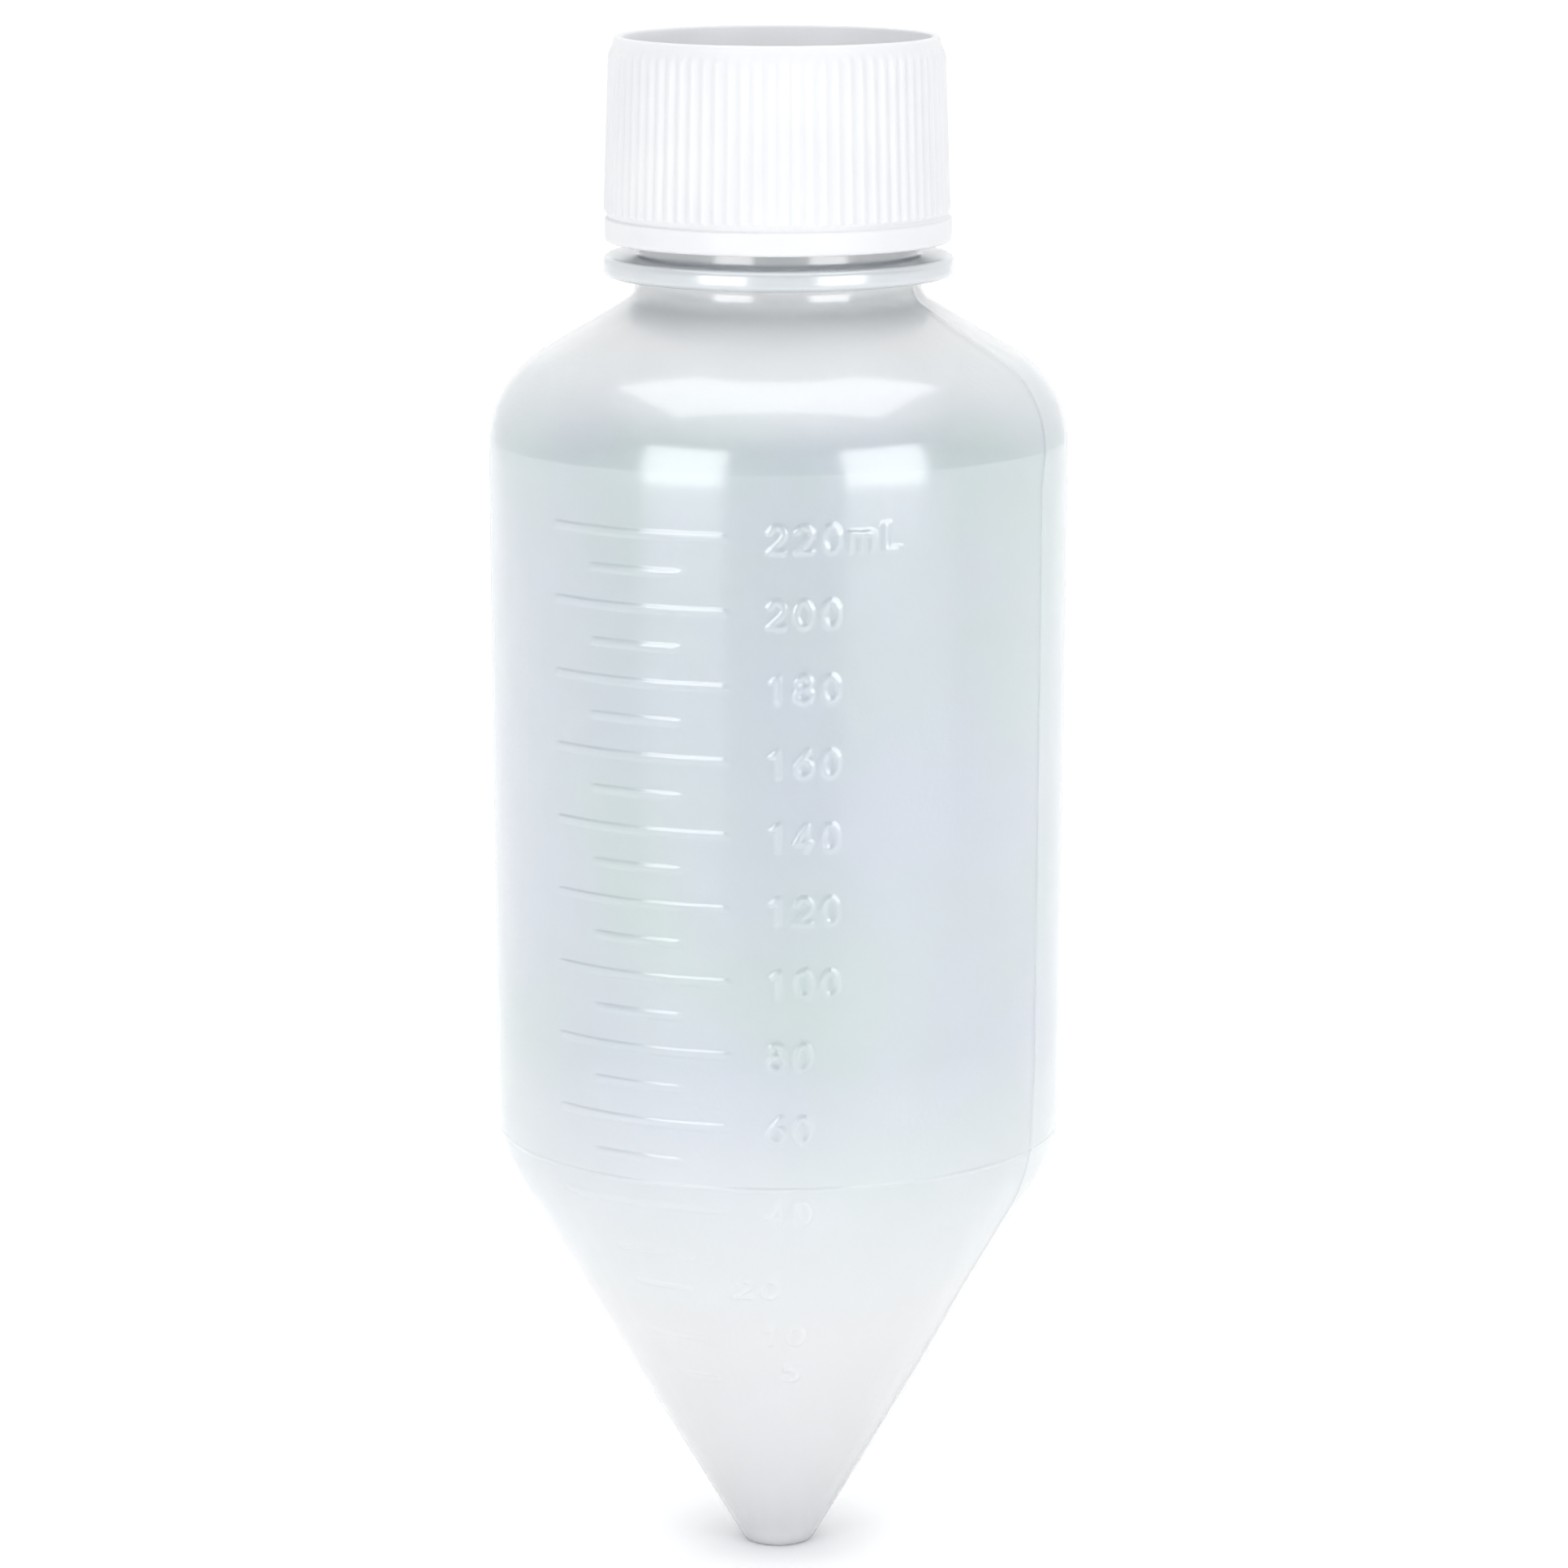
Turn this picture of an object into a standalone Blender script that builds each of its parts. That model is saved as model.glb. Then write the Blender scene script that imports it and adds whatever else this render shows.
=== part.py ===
"""Conical-bottom laboratory bottle with a screw cap, in metres, +Z up.

The origin is the middle of the small flat at the tip of the cone.  The bottle's axis is Z.
The cap unscrews about that axis and carries a flat seal ring up with it.
"""
import math

import bmesh
import bpy

MM = 0.001

# Driving dimensions, in millimetres.
OVERALL_HEIGHT = 163.1
BODY_TOP_RADIUS = 30.53
BODY_BOTTOM_RADIUS = 30.13
WALL = 1.4
CONE_SLOPE = 0.592          # radius gained for each millimetre of height
TIP_RADIUS = 3.66
TIP_WALL = 2.2
SHOULDER_SLOPE = 0.593      # height gained for each millimetre of radius lost
SHOULDER_CORNER_HEIGHT = 126.97
NECK_RADIUS = 14.65
NECK_FOOT_RADIUS = 14.95    # the short stretch between the shoulder and the flange
BORE_RADIUS = 12.9
MOUTH_HEIGHT = 156.7

FLANGE_RADIUS = 18.37
FLANGE_BOTTOM = 138.32
FLANGE_TOP = 140.41

CAP_BASE = 141.88
CAP_BAND_RADIUS = 18.15
CAP_BAND_HEIGHT = 2.5
CAP_FOOT_RADIUS = 17.87     # rib crests, just above the band
CAP_TOP_RADIUS = 17.27      # rib crests, just below the rounded shoulder
CAP_BORE_RADIUS = 16.05
WELL_RADIUS = 16.1
WELL_DEPTH = 3.0
CAP_PLATE = 1.6
RIB_COUNT = 80
RIB_DEPTH = 0.28

THREAD_PITCH = 4.2
THREAD_TURNS = 1.75
THREAD_START = 147.0        # middle of the bottle's thread at its lower end
THREAD_REACH = 1.1
THREAD_ROOT_WIDTH = 1.8
THREAD_CREST_WIDTH = 0.8
THREAD_SINK = 0.35          # how far a thread is buried in the wall that carries it

SEAL_THICKNESS = 1.2
SEAL_OUTER_RADIUS = 15.6
SEAL_INNER_RADIUS = 12.95
GAP = 0.3                   # left between pieces that touch

MARK_WIDTH = 0.65           # raised volume marks
MARK_PROUD = 0.3
MARK_SINK = 0.35
MARK_STEP_ANGLE = 5.0
LONG_MARK = (-48.5, -9.5)   # degrees round the bottle from the front, every 20 mL
SHORT_MARK = (-38.7, -19.3)
BODY_MARK_60 = 53.75        # height of the 60 mL mark
BODY_MARK_STEP = 3.824      # rise for each 10 mL on the straight body
BODY_MARKS = range(60, 230, 10)
CONE_MARKS = {50: 49.85, 40: 44.85, 30: 38.85, 20: 34.6, 10: 28.1, 5: 23.0}
LONG_MARK_VOLUMES = range(40, 230, 20)

BOTTLE_SIDES = 64
LARGE_FILLET = 5.0
LARGE_ARC_STEPS = 5
SMALL_ARC_STEPS = 2
CAP_SIDES = RIB_COUNT
SHARP_ANGLE = math.radians(32)


def clear_scene():
    """Take every object out of the scene."""
    for obj in list(bpy.data.objects):
        bpy.data.objects.remove(obj, do_unlink=True)


def plastic(name, colour, roughness):
    """A Principled material for a moulded piece."""
    material = bpy.data.materials.new(name)
    material.use_nodes = True
    shader = material.node_tree.nodes["Principled BSDF"]
    shader.inputs["Base Color"].default_value = (*colour, 1.0)
    shader.inputs["Roughness"].default_value = roughness
    shader.inputs["Metallic"].default_value = 0.0
    return material


def rounded(corners):
    """A profile through (radius, height, fillet) corners, each fillet drawn as an arc.

    The arc touches both straight sides, so it starts at fillet * tan(turn / 2) from the corner.
    """
    points = []
    for index, (radius, height, fillet) in enumerate(corners):
        if fillet == 0:
            points.append((radius, height))
            continue
        steps = LARGE_ARC_STEPS if fillet > LARGE_FILLET else SMALL_ARC_STEPS
        before, after = corners[index - 1], corners[(index + 1) % len(corners)]
        into = math.atan2(height - before[1], radius - before[0])
        out = math.atan2(after[1] - height, after[0] - radius)
        turn = (out - into + math.pi) % math.tau - math.pi
        reach = fillet * math.tan(abs(turn) / 2)
        side = math.copysign(math.pi / 2, turn)
        start = (radius - reach * math.cos(into), height - reach * math.sin(into))
        centre = (start[0] + fillet * math.cos(into + side), start[1] + fillet * math.sin(into + side))
        for step in range(steps + 1):
            angle = into - side + turn * step / steps
            points.append((centre[0] + fillet * math.cos(angle), centre[1] + fillet * math.sin(angle)))
    return points


def ring(mesh, radius, height, sides, dip=0.0):
    """One ring of vertices about Z; with a dip, every second vertex sits that much nearer the axis."""
    vertices = []
    for side in range(sides):
        angle = math.tau * side / sides
        reach = (radius - dip * (side % 2)) * MM
        vertices.append(mesh.verts.new((reach * math.cos(angle), reach * math.sin(angle), height * MM)))
    return vertices


def join_rings(mesh, first, second):
    """Faces between two rings; one ring may have twice as many vertices as the other."""
    if len(first) == len(second):
        count = len(first)
        for i in range(count):
            j = (i + 1) % count
            mesh.faces.new((first[i], first[j], second[j], second[i]))
        return
    fine, coarse = (first, second) if len(first) > len(second) else (second, first)
    count = len(coarse)
    for i in range(count):
        left, middle, right = fine[2 * i], fine[2 * i + 1], fine[(2 * i + 2) % len(fine)]
        j = (i + 1) % count
        for face in ((left, middle, coarse[i]), (middle, coarse[j], coarse[i]), (middle, right, coarse[j])):
            mesh.faces.new(face)


def close_ring(mesh, vertices, height):
    """A fan from a ring to a point on the axis."""
    centre = mesh.verts.new((0.0, 0.0, height * MM))
    for i, vertex in enumerate(vertices):
        mesh.faces.new((vertex, vertices[(i + 1) % len(vertices)], centre))


def finish_mesh(mesh, name):
    """Turn the faces outwards and hand back a mesh object at the origin, shaded smooth."""
    bmesh.ops.recalc_face_normals(mesh, faces=mesh.faces)
    data = bpy.data.meshes.new(name)
    mesh.to_mesh(data)
    mesh.free()
    data.shade_smooth()
    data.set_sharp_from_angle(angle=SHARP_ANGLE)
    obj = bpy.data.objects.new(name, data)
    bpy.context.scene.collection.objects.link(obj)
    return obj


def turned(name, profile, sides, closed=False):
    """A turned solid: a closed loop of profile points, or a line that starts and ends on the axis."""
    mesh = bmesh.new()
    rings = [ring(mesh, radius, height, sides) for radius, height in profile]
    for first, second in zip(rings, rings[1:]):
        join_rings(mesh, first, second)
    if closed:
        join_rings(mesh, rings[-1], rings[0])
    else:
        close_ring(mesh, rings[0], profile[0][1])
        close_ring(mesh, rings[-1], profile[-1][1])
    return finish_mesh(mesh, name)


def skin_sections(mesh, sections):
    """A closed bar through a row of four-cornered sections."""
    for first, second in zip(sections, sections[1:]):
        for i in range(4):
            j = (i + 1) % 4
            mesh.faces.new((first[i], first[j], second[j], second[i]))
    mesh.faces.new(sections[0])
    mesh.faces.new(reversed(sections[-1]))


def thread_ridge(name, wall_radius, start_height, reach, sides):
    """A right-hand helical ridge on a wall; a negative reach points it inwards.

    The section is a trapezium that swells from nothing to full height over an eighth of a turn at each end.
    """
    mesh = bmesh.new()
    sink = -math.copysign(THREAD_SINK, reach)
    flank = (THREAD_ROOT_WIDTH - THREAD_CREST_WIDTH) / 2 / abs(reach)
    steps = round(THREAD_TURNS * sides)
    fade = sides / 8
    sections = []
    for step in range(steps + 1):
        angle = math.tau * step / sides
        middle = start_height + THREAD_PITCH * step / sides
        swell = max(0.12, min(1.0, step / fade, (steps - step) / fade))
        crest_half = THREAD_CREST_WIDTH / 2 * swell
        root_half = crest_half + flank * (abs(reach) * swell + THREAD_SINK)
        crest = reach * swell
        corners = ((sink, -root_half), (crest, -crest_half), (crest, crest_half), (sink, root_half))
        section = []
        for out, up in corners:
            radius = (wall_radius + out) * MM
            place = (radius * math.cos(angle), radius * math.sin(angle), (middle + up) * MM)
            section.append(mesh.verts.new(place))
        sections.append(section)
    skin_sections(mesh, sections)
    ridge = finish_mesh(mesh, name)
    ridge.hide_render = True
    ridge.display_type = "WIRE"
    return ridge


def add_to(obj, extra):
    """Join an extra shape onto an object with a Boolean union."""
    union = obj.modifiers.new("join_" + extra.name, "BOOLEAN")
    union.operation = "UNION"
    union.solver = "EXACT"
    union.object = extra


def volume_marks(profile):
    """Raised bars on the outside of the wall, in one mesh.

    Each bar is a rectangle, square to the wall, carried round the bottle between two angles.
    """
    heights = {volume: BODY_MARK_60 + (volume - 60) / 10 * BODY_MARK_STEP for volume in BODY_MARKS}
    heights.update(CONE_MARKS)
    mesh = bmesh.new()
    for volume, height in heights.items():
        start, end = LONG_MARK if volume in LONG_MARK_VOLUMES else SHORT_MARK
        low, high = next(pair for pair in zip(profile, profile[1:]) if pair[0][1] <= height <= pair[1][1])
        lean = math.atan2(high[0] - low[0], high[1] - low[1])
        radius = low[0] + (height - low[1]) * math.tan(lean)
        corners = []
        for along, out in ((-1, -MARK_SINK), (-1, MARK_PROUD), (1, MARK_PROUD), (1, -MARK_SINK)):
            along *= MARK_WIDTH / 2
            corners.append((radius + along * math.sin(lean) + out * math.cos(lean),
                            height + along * math.cos(lean) - out * math.sin(lean)))
        steps = round((end - start) / MARK_STEP_ANGLE)
        sections = []
        for step in range(steps + 1):
            angle = math.radians(start + (end - start) * step / steps)
            places = ((r * math.sin(angle), -r * math.cos(angle), z) for r, z in corners)
            sections.append([mesh.verts.new([value * MM for value in place]) for place in places])
        skin_sections(mesh, sections)
    marks = finish_mesh(mesh, "volume_marks")
    marks.hide_render = True
    marks.display_type = "WIRE"
    return marks


def bottle_profile():
    """The bottle's section, from the outside of the tip, up over the mouth, down to the inside of the tip."""
    cone_top = (BODY_BOTTOM_RADIUS - TIP_RADIUS) / CONE_SLOPE
    neck_foot = SHOULDER_CORNER_HEIGHT + (BODY_TOP_RADIUS - NECK_FOOT_RADIUS) * SHOULDER_SLOPE
    cone_inset = WALL * math.hypot(1, CONE_SLOPE)
    shoulder_drop = WALL * math.hypot(1, SHOULDER_SLOPE)
    inner_top_radius = BODY_TOP_RADIUS - WALL
    inner_bottom_radius = BODY_BOTTOM_RADIUS - WALL
    inner_shoulder = SHOULDER_CORNER_HEIGHT - shoulder_drop + WALL * SHOULDER_SLOPE
    inner_neck_foot = inner_shoulder + (inner_top_radius - BORE_RADIUS) * SHOULDER_SLOPE
    inner_cone_top = (inner_bottom_radius - TIP_RADIUS + cone_inset) / CONE_SLOPE
    inner_tip_radius = TIP_RADIUS - cone_inset + CONE_SLOPE * TIP_WALL

    corner, shoulder, neck_fillet = 15.5, 11.7, 2.2
    outside = rounded([
        (0.0, 0.0, 0),
        (TIP_RADIUS, 0.0, 0.9),
        (BODY_BOTTOM_RADIUS, cone_top, corner),
        (BODY_TOP_RADIUS, SHOULDER_CORNER_HEIGHT, shoulder),
        (NECK_FOOT_RADIUS, neck_foot, neck_fillet),
        (NECK_FOOT_RADIUS, FLANGE_BOTTOM, 0.5),
        (FLANGE_RADIUS, FLANGE_BOTTOM, 0.7),
        (FLANGE_RADIUS, FLANGE_TOP, 0.7),
        (NECK_RADIUS, FLANGE_TOP, 0.4),
        (NECK_RADIUS, MOUTH_HEIGHT, 0.4),
        (BORE_RADIUS, MOUTH_HEIGHT, 0),
    ])
    inside = rounded([
        (BORE_RADIUS, MOUTH_HEIGHT, 0),
        (BORE_RADIUS, inner_neck_foot, neck_fillet + WALL),
        (inner_top_radius, inner_shoulder, shoulder - WALL),
        (inner_bottom_radius, inner_cone_top, corner - WALL),
        (inner_tip_radius, TIP_WALL, 1.5),
        (0.0, TIP_WALL, 0),
    ])
    return outside[1:] + inside[1:-1]


def make_bottle():
    """The moulded bottle: cone, body, shoulder, neck, flange, thread and volume marks in one piece."""
    profile = bottle_profile()
    bottle = turned("bottle", profile, BOTTLE_SIDES)
    add_to(bottle, thread_ridge("neck_thread", NECK_RADIUS, THREAD_START, THREAD_REACH, BOTTLE_SIDES))
    add_to(bottle, volume_marks(profile))
    bottle.data.materials.append(plastic("translucent_polypropylene", (0.80, 0.84, 0.86), 0.38))
    return bottle


def cap_rings(mesh):
    """The cap's rings in order, from the floor of the well, over the rim, down the ribs and up the bore."""
    top = OVERALL_HEIGHT - CAP_BASE
    floor = top - WELL_DEPTH
    draft = (CAP_FOOT_RADIUS - CAP_TOP_RADIUS) / (top - CAP_BAND_HEIGHT)
    rib_top = top - 1.0
    rib_full = top - 2.0
    rib_foot = CAP_BAND_HEIGHT + 0.4
    well = rounded([
        (0.0, floor, 0),
        (WELL_RADIUS - 0.15, floor, 0.5),
        (WELL_RADIUS, top, 0.15),
        (CAP_TOP_RADIUS - 0.03, top, 0.6),
        (CAP_TOP_RADIUS, rib_top, 0),
    ])[1:]
    rings = [ring(mesh, radius, height, CAP_SIDES) for radius, height in well]
    for height, dip in ((rib_full, RIB_DEPTH), (rib_foot, RIB_DEPTH)):
        rings.append(ring(mesh, CAP_TOP_RADIUS + draft * (rib_top - height), height, 2 * CAP_SIDES, dip))
    skirt = (
        (CAP_FOOT_RADIUS, CAP_BAND_HEIGHT),
        (CAP_BAND_RADIUS, CAP_BAND_HEIGHT - 0.15),
        (CAP_BAND_RADIUS, 0.3),
        (CAP_BAND_RADIUS - 0.3, 0.0),
        (CAP_BORE_RADIUS + 0.5, 0.0),
        (CAP_BORE_RADIUS, 0.6),
        (CAP_BORE_RADIUS, floor - CAP_PLATE),
    )
    return rings + [ring(mesh, radius, height, CAP_SIDES) for radius, height in skirt]


def make_cap(axis):
    """The ribbed screw cap, with its open well on top and its thread inside."""
    mesh = bmesh.new()
    rings = cap_rings(mesh)
    for first, second in zip(rings, rings[1:]):
        join_rings(mesh, first, second)
    floor = OVERALL_HEIGHT - CAP_BASE - WELL_DEPTH
    close_ring(mesh, rings[0], floor)
    close_ring(mesh, rings[-1], floor - CAP_PLATE)
    cap = finish_mesh(mesh, "screw_cap")
    start = THREAD_START - THREAD_PITCH / 2 - CAP_BASE
    ridge = thread_ridge("cap_thread", CAP_BORE_RADIUS, start, -THREAD_REACH, CAP_SIDES)
    add_to(cap, ridge)
    for obj in (cap, ridge):
        obj.parent = axis
    cap.data.materials.append(plastic("white_polypropylene", (0.93, 0.93, 0.95), 0.42))
    return cap


def make_seal(axis):
    """The flat ring that the cap presses on the mouth of the bottle."""
    section = rounded([
        (SEAL_INNER_RADIUS, 0.0, 0),
        (SEAL_OUTER_RADIUS, 0.0, 0.2),
        (SEAL_OUTER_RADIUS, SEAL_THICKNESS, 0.2),
        (SEAL_INNER_RADIUS, SEAL_THICKNESS, 0),
    ])
    seal = turned("seal_ring", section, BOTTLE_SIDES, closed=True)
    seal.parent = axis
    seal.location.z = (MOUTH_HEIGHT + GAP - CAP_BASE) * MM
    seal.data.materials.append(plastic("clear_silicone", (0.86, 0.87, 0.86), 0.5))
    return seal


def main():
    """Build the bottle, then the cap and its seal on the cap's own axis."""
    clear_scene()
    axis = bpy.data.objects.new("cap_axis", None)
    axis.location.z = CAP_BASE * MM
    bpy.context.scene.collection.objects.link(axis)
    make_bottle()
    make_cap(axis)
    make_seal(axis)


main()
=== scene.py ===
import math

import bpy
import numpy as np
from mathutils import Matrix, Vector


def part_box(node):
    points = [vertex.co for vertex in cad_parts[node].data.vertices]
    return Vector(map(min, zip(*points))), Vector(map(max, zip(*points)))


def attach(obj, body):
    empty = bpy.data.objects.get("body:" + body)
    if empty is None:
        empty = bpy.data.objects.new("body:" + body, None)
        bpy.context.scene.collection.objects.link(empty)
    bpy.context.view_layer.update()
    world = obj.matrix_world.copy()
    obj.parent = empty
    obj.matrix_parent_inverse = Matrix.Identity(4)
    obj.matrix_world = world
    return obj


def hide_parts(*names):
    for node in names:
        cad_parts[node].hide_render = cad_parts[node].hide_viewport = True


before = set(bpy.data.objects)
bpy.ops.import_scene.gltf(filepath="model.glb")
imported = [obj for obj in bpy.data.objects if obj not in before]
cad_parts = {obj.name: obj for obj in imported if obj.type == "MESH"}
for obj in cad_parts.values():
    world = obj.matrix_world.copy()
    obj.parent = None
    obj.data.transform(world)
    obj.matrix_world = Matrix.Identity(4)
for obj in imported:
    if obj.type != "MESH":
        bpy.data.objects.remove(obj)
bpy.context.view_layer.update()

# A conical-bottom laboratory bottle with a ribbed screw cap and a seal ring.  Every piece is a turned
# surface: rows follow its section, columns go round the axis, and all that is moulded into the wall
# (volume marks, figures, seams, threads, ribs) is a change of distance along the wall's own normal.
# Sections are in millimetres.  Angles go round from the front (-Y) towards +X.

MM = 0.001

# ---------------------------------------------------------------- places, from the frame

CAP_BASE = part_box("screw_cap")[0][2] / MM
CAP_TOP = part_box("screw_cap")[1][2] / MM
MOUTH_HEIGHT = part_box("bottle")[1][2] / MM
SEAL_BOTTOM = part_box("seal_ring")[0][2] / MM
SEAL_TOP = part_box("seal_ring")[1][2] / MM
SEAL_OUTER_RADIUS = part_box("seal_ring")[1][0] / MM

# ---------------------------------------------------------------- bottle dimensions

BODY_TOP_RADIUS = 30.53
BODY_BOTTOM_RADIUS = 30.13
WALL = 1.4
CONE_SLOPE = 0.592
TIP_RADIUS = 3.66
TIP_WALL = 2.2
SHOULDER_SLOPE = 0.593
SHOULDER_CORNER_HEIGHT = 126.97
NECK_RADIUS = 14.65
NECK_FOOT_RADIUS = 14.95
BORE_RADIUS = 12.9
FLANGE_RADIUS = 18.37
FLANGE_BOTTOM = 138.32
FLANGE_TOP = 140.41
ARC_STEPS = 24

# Fillets of the bottle's outside, from the tip up, and of its inside.
TIP_FILLET = 0.9
BODY_CORNER = 15.5
SHOULDER_CORNER = 11.7
NECK_FILLET = 2.2
FLANGE_FILLET = 0.5
FLANGE_RIM_FILLET = 0.6
FLANGE_ROOT_FILLET = 0.4
LIP_FILLET = 0.4
INNER_LIP_FILLET = 0.3
INNER_TIP_FILLET = 1.5

# Heights between which the wall bends from cone to body, body to shoulder and shoulder to neck.
CONE_BEND = (34.0, 53.0)
SHOULDER_BEND = (118.0, 132.0)
INNER_SHOULDER_BEND = (118.0, 139.0)
NECK_BEND = (135.0, 138.3)

THREAD_PITCH = 4.2
THREAD_TURNS = 1.75
THREAD_START = 147.0
THREAD_REACH = 1.1
THREAD_ROOT_WIDTH = 1.8
THREAD_CREST_WIDTH = 0.8
THREAD_RUN_OUT = 0.125

# Volume marks: heights in millimetres for each volume in millilitres, evenly spaced from 60 mL up.
BODY_MARKS_START = 53.75
BODY_MARKS_RISE = 0.3824
MARK_HEIGHTS = {volume: BODY_MARKS_START + (volume - 60) * BODY_MARKS_RISE
                for volume in range(60, 230, 10)}
MARK_HEIGHTS.update({50: 49.85, 40: 44.85, 30: 38.85, 20: 34.6, 10: 28.1, 5: 23.0})

# Angles of the marks' two ends, in degrees.
LONG_MARK = (-48.5, -9.5)
SHORT_MARK = (-38.7, -19.3)
MARK_ANGLES = {volume: LONG_MARK if volume >= 40 and volume % 20 == 0 else SHORT_MARK
               for volume in MARK_HEIGHTS}
MARK_ANGLES.update({30: (-39.3, -19.2), 20: (-37.6, -22.3), 10: (-40.8, -22.3), 5: (-37.6, -21.0)})
MARK_HALF_WIDTH = 0.4
MARK_PROUD = 0.075
FIGURE_PROUD = 0.15
MARK_EDGE = 0.24
MARK_REACH = 2.6

# Figures: left edge in millimetres round the wall from the front, and rise of their feet above the mark.
FIGURE_HEIGHT = 3.1
FIGURE_STROKE = 0.5
FIGURE_WIDTH = 2.05
FIGURE_PITCH = 2.75
EXTRA_PITCH_OF_M = 1.05
FIGURE_PLACES = {volume: (-1.2, -1.65) for volume in range(40, 230, 20)}
FIGURE_PLACES.update({40: (-1.2, -1.7), 20: (-4.7, -1.0), 10: (-2.0, -0.6), 5: (0.3, -0.2)})

# Two fine lines moulded round the wall, at the top of the cone and at the shoulder.
RING_LINE_HEIGHT = 47.28
RING_LINE_PROUD = 0.1
RING_LINE_WIDTH = 0.16
SHOULDER_LINE_HEIGHT = 121.3
SHOULDER_LINE_PROUD = 0.025
SHOULDER_LINE_WIDTH = 0.2

# Mould seams: middle angles in degrees, the heights over which they rise from the tip and end under the
# flange, and (height, degrees) points between which they wander off their middle angle.
SEAM_ANGLES = (64.0, -116.0)
SEAM_PROUD = 0.15
SEAM_WIDTH = 0.2
SEAM_RISES = (0.6, 2.4)
SEAM_ENDS = (FLANGE_BOTTOM - 1.5, FLANGE_BOTTOM - 0.5)
SEAM_WANDER = ((0.0, -3.0), (44.0, -3.0), (56.0, -1.0), (118.0, -1.0), (130.0, 4.0), (165.0, 4.0))
SEAM_WANDER_SPREAD = 12.0

# ---------------------------------------------------------------- cap and seal dimensions

CAP_BAND_RADIUS = 18.15
CAP_BAND_HEIGHT = 2.5
CAP_BAND_FILLET = 0.12
CAP_FOOT_RADIUS = 17.87
CAP_WALL_RADIUS = 17.29
CAP_WALL_DROP = 1.75
CAP_EDGE_RADIUS = 17.03
CAP_EDGE_DROP = 0.5
CAP_RIM_RADIUS = 16.92
CAP_BORE_RADIUS = 16.05
WELL_RADIUS = 16.1
WELL_DRAFT = 0.15
WELL_DEPTH = 3.0
CAP_PLATE = 1.6
CAP_ARC_STEPS = 10
RIB_COUNT = 80
RIB_DEPTH = 0.28
RIB_COLUMNS = 6
RIB_POWER = 1.2
RIB_WALL_OFFSET = -0.15
SEAL_INNER_RADIUS = 12.95
SEAL_FILLET = 0.25
SEAL_COLUMNS = 144


# ---------------------------------------------------------------- turned surfaces

def rounded(corners, steps=14):
    """A section line through (radius, height, fillet) corners, each fillet drawn as an arc.

    An arc touches both straight sides, so it starts at fillet * tan(turn / 2) from its corner and turns
    evenly from the direction of one side to that of the next.
    """
    points = []
    for index, (radius, height, fillet) in enumerate(corners):
        if fillet == 0:
            points.append([[radius, height]])
            continue
        before, after = corners[index - 1], corners[(index + 1) % len(corners)]
        into = math.atan2(height - before[1], radius - before[0])
        out = math.atan2(after[1] - height, after[0] - radius)
        turn = (out - into + math.pi) % math.tau - math.pi
        reach = fillet * math.tan(abs(turn) / 2)
        side = math.copysign(math.pi / 2, turn)
        centre = (radius - reach * math.cos(into) + fillet * math.cos(into + side),
                  height - reach * math.sin(into) + fillet * math.sin(into + side))
        angles = into - side + turn * np.linspace(0, 1, steps + 1)
        points.append(np.column_stack((centre[0] + fillet * np.cos(angles),
                                       centre[1] + fillet * np.sin(angles))))
    return np.vstack(points)


def along(line):
    """Length of a section line from its start to each of its points."""
    return np.concatenate(([0.0], np.cumsum(np.hypot(*np.diff(line, axis=0).T))))


def graded(start, end, coarse, zones):
    """Values from start to end, spaced by coarse, or closer inside (low, high, spacing) zones.

    The count of steps up to a value is the running sum of 1 / spacing, and equal parts of that sum are kept.
    """
    samples = 60000
    at = np.linspace(start, end, samples)
    spacing = np.full(at.size, coarse)
    for low, high, fine in zones:
        inside = (at >= low) & (at <= high)
        spacing[inside] = np.minimum(spacing[inside], fine)
    steps = np.concatenate(([0.0], np.cumsum(np.diff(at) / spacing[1:])))
    return np.interp(np.linspace(0, steps[-1], math.ceil(steps[-1]) + 1), steps, at)


def resample(line, lengths):
    """Points of a section line at the given lengths along it."""
    total = along(line)
    return np.column_stack([np.interp(lengths, total, line[:, axis]) for axis in (0, 1)])


def section_normals(section):
    """Direction across a section at each of its points: its direction of travel turned by a right angle.

    It points out of the plastic where a section runs up the outside, and into it where one runs down.
    """
    travel = np.gradient(section, axis=0)
    travel /= np.hypot(*travel.T)[:, None]
    return np.column_stack((travel[:, 1], -travel[:, 0]))


def bell(value, width):
    """A smooth hump: 1 at zero, falling as exp(-(value / width) squared)."""
    return np.exp(-(value / width) ** 2)


def ramp(value, low, high):
    """0 up to low, 1 from high on, and 3t^2 - 2t^3 between them."""
    t = np.clip((value - low) / (high - low), 0, 1)
    return t * t * (3 - 2 * t)


def fall(value, start, end):
    """1 up to start, 0 from end on: a ramp the other way round."""
    return ramp(-value, -end, -start)


def new_piece(name, points, corners, sizes):
    """A smooth-shaded object from points in millimetres and the corners of its faces, one after another.

    A face starts where the sizes of all faces before it add up to.
    """
    mesh = bpy.data.meshes.new(name)
    mesh.vertices.add(len(points))
    mesh.vertices.foreach_set("co", (points * MM).ravel())
    mesh.loops.add(corners.size)
    mesh.loops.foreach_set("vertex_index", corners)
    mesh.polygons.add(len(sizes))
    mesh.polygons.foreach_set("loop_start", np.cumsum(sizes) - sizes)
    mesh.polygons.foreach_set("loop_total", sizes)
    mesh.update(calc_edges=True)
    mesh.validate()
    mesh.shade_smooth()
    piece = bpy.data.objects.new(name, mesh)
    bpy.context.scene.collection.objects.link(piece)
    return piece


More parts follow.
